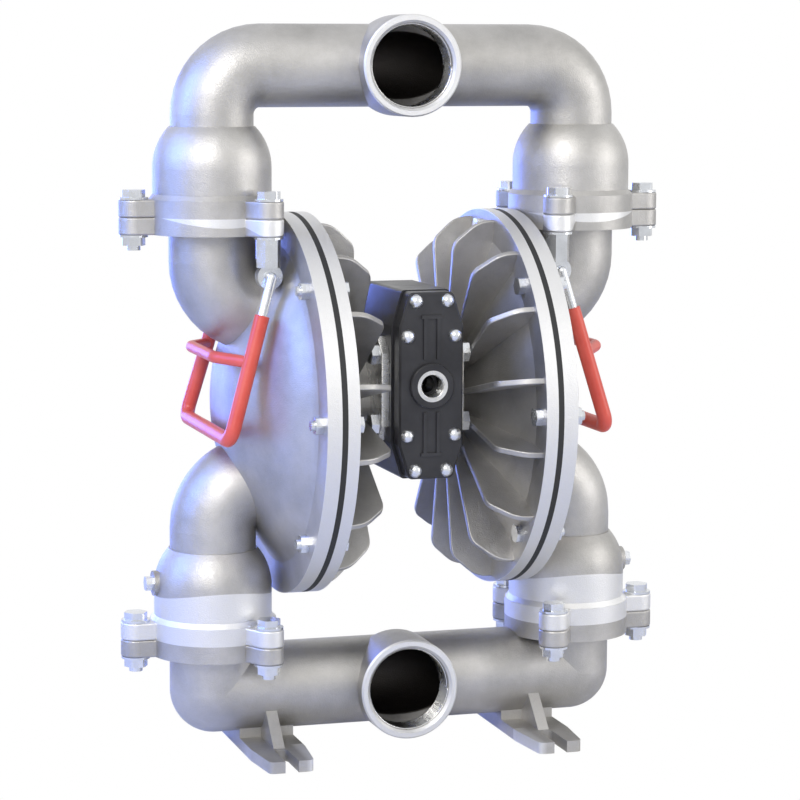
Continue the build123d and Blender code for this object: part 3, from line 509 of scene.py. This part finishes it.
liquid_port_bore = 0.0434
liquid_pitch = 0.003175
liquid_turns = 8
liquid_mouth = -0.0575
air_level = 0.390
inlet_bore = 0.0123
inlet_pitch = 0.001814
inlet_turns = 10
inlet_mouth = -0.1290
exhaust_bore = 0.0155
exhaust_pitch = 0.002209
exhaust_turns = 9
exhaust_mouth = 0.1250
thread_ridge("discharge_port_thread", liquid_port_bore, liquid_pitch, liquid_turns,
             (0.0, liquid_mouth, discharge_level), -1, turned_metal)
thread_ridge("suction_port_thread", liquid_port_bore, liquid_pitch, liquid_turns,
             (0.0, liquid_mouth, suction_level), -1, turned_metal)
thread_ridge("air_inlet_thread", inlet_bore, inlet_pitch, inlet_turns,
             (0.0, inlet_mouth, air_level), -1, turned_metal)
thread_ridge("exhaust_thread", exhaust_bore, exhaust_pitch, exhaust_turns,
             (0.0, exhaust_mouth, air_level), 1, black_moulding)


# ---------------------------------------------------------------- mating flanges
# Each air chamber is bolted to the centre block through a thin machined flange that
# stands against the block's side. It is cut from plate and held by four hexagon bolts.
flange_inner = 0.0362
flange_thick = 0.0080
flange_half_deep = 0.098
flange_top = 0.437
flange_foot = 0.330
flange_corner = 0.016
flange_chamfer = 0.0012


def faces_where(piece, test):
    """Select the faces of an edit-mode piece whose centre and normal pass a test."""
    bpy.ops.object.mode_set(mode="EDIT")
    bpy.ops.mesh.select_mode(type="FACE")
    bpy.ops.mesh.select_all(action="DESELECT")
    bpy.ops.object.mode_set(mode="OBJECT")
    for face in piece.data.polygons:
        face.select = test(face.center, face.normal)
    bpy.ops.object.mode_set(mode="EDIT")


def mating_flange(side, name):
    """Plate against one side of the block, with cut corners and a chamfered rim."""
    start_clean()
    level = (flange_top + flange_foot) / 2
    middle = side * (flange_inner + flange_thick / 2)
    tall = flange_top - flange_foot
    bpy.ops.mesh.primitive_cube_add(size=1.0, location=(middle, 0.0, level),
                                    scale=(flange_thick, 2 * flange_half_deep, tall))
    plate = bpy.context.object
    settle(plate, name)
    bpy.ops.object.mode_set(mode="EDIT")
    bpy.ops.mesh.select_mode(type="EDGE")
    bpy.ops.mesh.select_all(action="DESELECT")
    bpy.ops.object.mode_set(mode="OBJECT")
    spots = plate.data.vertices
    for edge in plate.data.edges:
        ends = [spots[number].co for number in edge.vertices]
        edge.select = abs(ends[0].x - ends[1].x) > flange_thick / 2
    bpy.ops.object.mode_set(mode="EDIT")
    bpy.ops.mesh.bevel(offset=flange_corner, segments=1, affect="EDGES")
    faces_where(plate, lambda centre, normal: normal.x * side > 0.9)
    bpy.ops.mesh.bevel(offset=flange_chamfer, segments=2, affect="EDGES")
    bpy.ops.object.mode_set(mode="OBJECT")
    plate.data.materials.append(turned_metal)
    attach(plate, "pump_body")
    return plate


mating_flange(-1, "left_mating_flange")
mating_flange(1, "right_mating_flange")

mating_bolt_across = 0.0095
mating_bolt_tall = 0.0085
mating_bolt_deep = 0.084
mating_bolt_levels = (0.348, 0.419)
head_land = 0.12
head_rise = 0.06
head_dish_land = 0.22
head_dish = -0.02


def hexagon_head(name, across, tall, place, turn, finish):
    """Hexagon bolt head with a turned top, standing on its place along its own Z."""
    start_clean()
    corner = across / math.cos(math.pi / 6)
    bpy.ops.mesh.primitive_cylinder_add(vertices=6, radius=corner, depth=tall,
                                        location=(0.0, 0.0, tall / 2))
    head = bpy.context.object
    bpy.ops.object.transform_apply(location=True, rotation=True, scale=True)
    faces_where(head, lambda centre, normal: normal.z > 0.9)
    bpy.ops.mesh.inset(thickness=across * head_land, depth=across * head_rise)
    bpy.ops.mesh.inset(thickness=across * head_dish_land, depth=across * head_dish)
    bpy.ops.object.mode_set(mode="OBJECT")
    head.rotation_euler = turn
    head.location = place
    settle(head, name)
    head.data.materials.append(finish)
    return head


def joined(pieces, name):
    """Join like pieces into one object."""
    start_clean()
    for piece in pieces:
        piece.select_set(True)
    bpy.context.view_layer.objects.active = pieces[0]
    bpy.ops.object.join()
    return settle(bpy.context.object, name)


for side, label in ((-1, "left"), (1, "right")):
    heads = []
    for deep in (-mating_bolt_deep, mating_bolt_deep):
        for level in mating_bolt_levels:
            seat = (side * (flange_inner + flange_thick), deep, level)
            heads.append(hexagon_head("mating_bolt", mating_bolt_across, mating_bolt_tall, seat,
                                      (0.0, side * math.pi / 2, 0.0), zinc_plate))
    bolts = joined(heads, label + "_mating_bolts")
    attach(bolts, "pump_body")


# ---------------------------------------------------------------- flange washers
# A plated washer, stamped from strip, goes with every bolt head and nut of the eared
# flanges, against the flange face.
washer_radius = 0.0150
washer_thick = 0.0024
washer_bore = 0.0074
ear_pitch = 0.0826
riser_offset = 0.197
upper_joint = 0.558
lower_joint = 0.120
flange_depth = 0.018


def washer(place):
    """Stamped washer with a bore."""
    start_clean()
    bpy.ops.mesh.primitive_cylinder_add(vertices=32, radius=washer_radius, depth=washer_thick)
    ring = bpy.context.object
    faces_where(ring, lambda centre, normal: abs(normal.z) > 0.9)
    bpy.ops.mesh.inset(thickness=washer_radius - washer_bore, use_individual=True)
    bpy.ops.mesh.bridge_edge_loops()
    bpy.ops.object.mode_set(mode="OBJECT")
    ring.location = place
    settle(ring, "washer")
    ring.data.materials.append(zinc_plate)
    return ring


washers = []
for side in (-1, 1):
    for number in range(3):
        angle = 2 * math.pi * number / 3
        across = side * (riser_offset + ear_pitch * math.cos(angle))
        along = ear_pitch * math.sin(angle)
        for joint in (upper_joint, lower_joint):
            washers.append(washer((across, along, joint + flange_depth + washer_thick / 2)))
            washers.append(washer((across, along, joint - flange_depth - washer_thick / 2)))
flange_washers = joined(washers, "flange_washers")
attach(flange_washers, "pump_body")

bpy.ops.object.select_all(action="DESELECT")
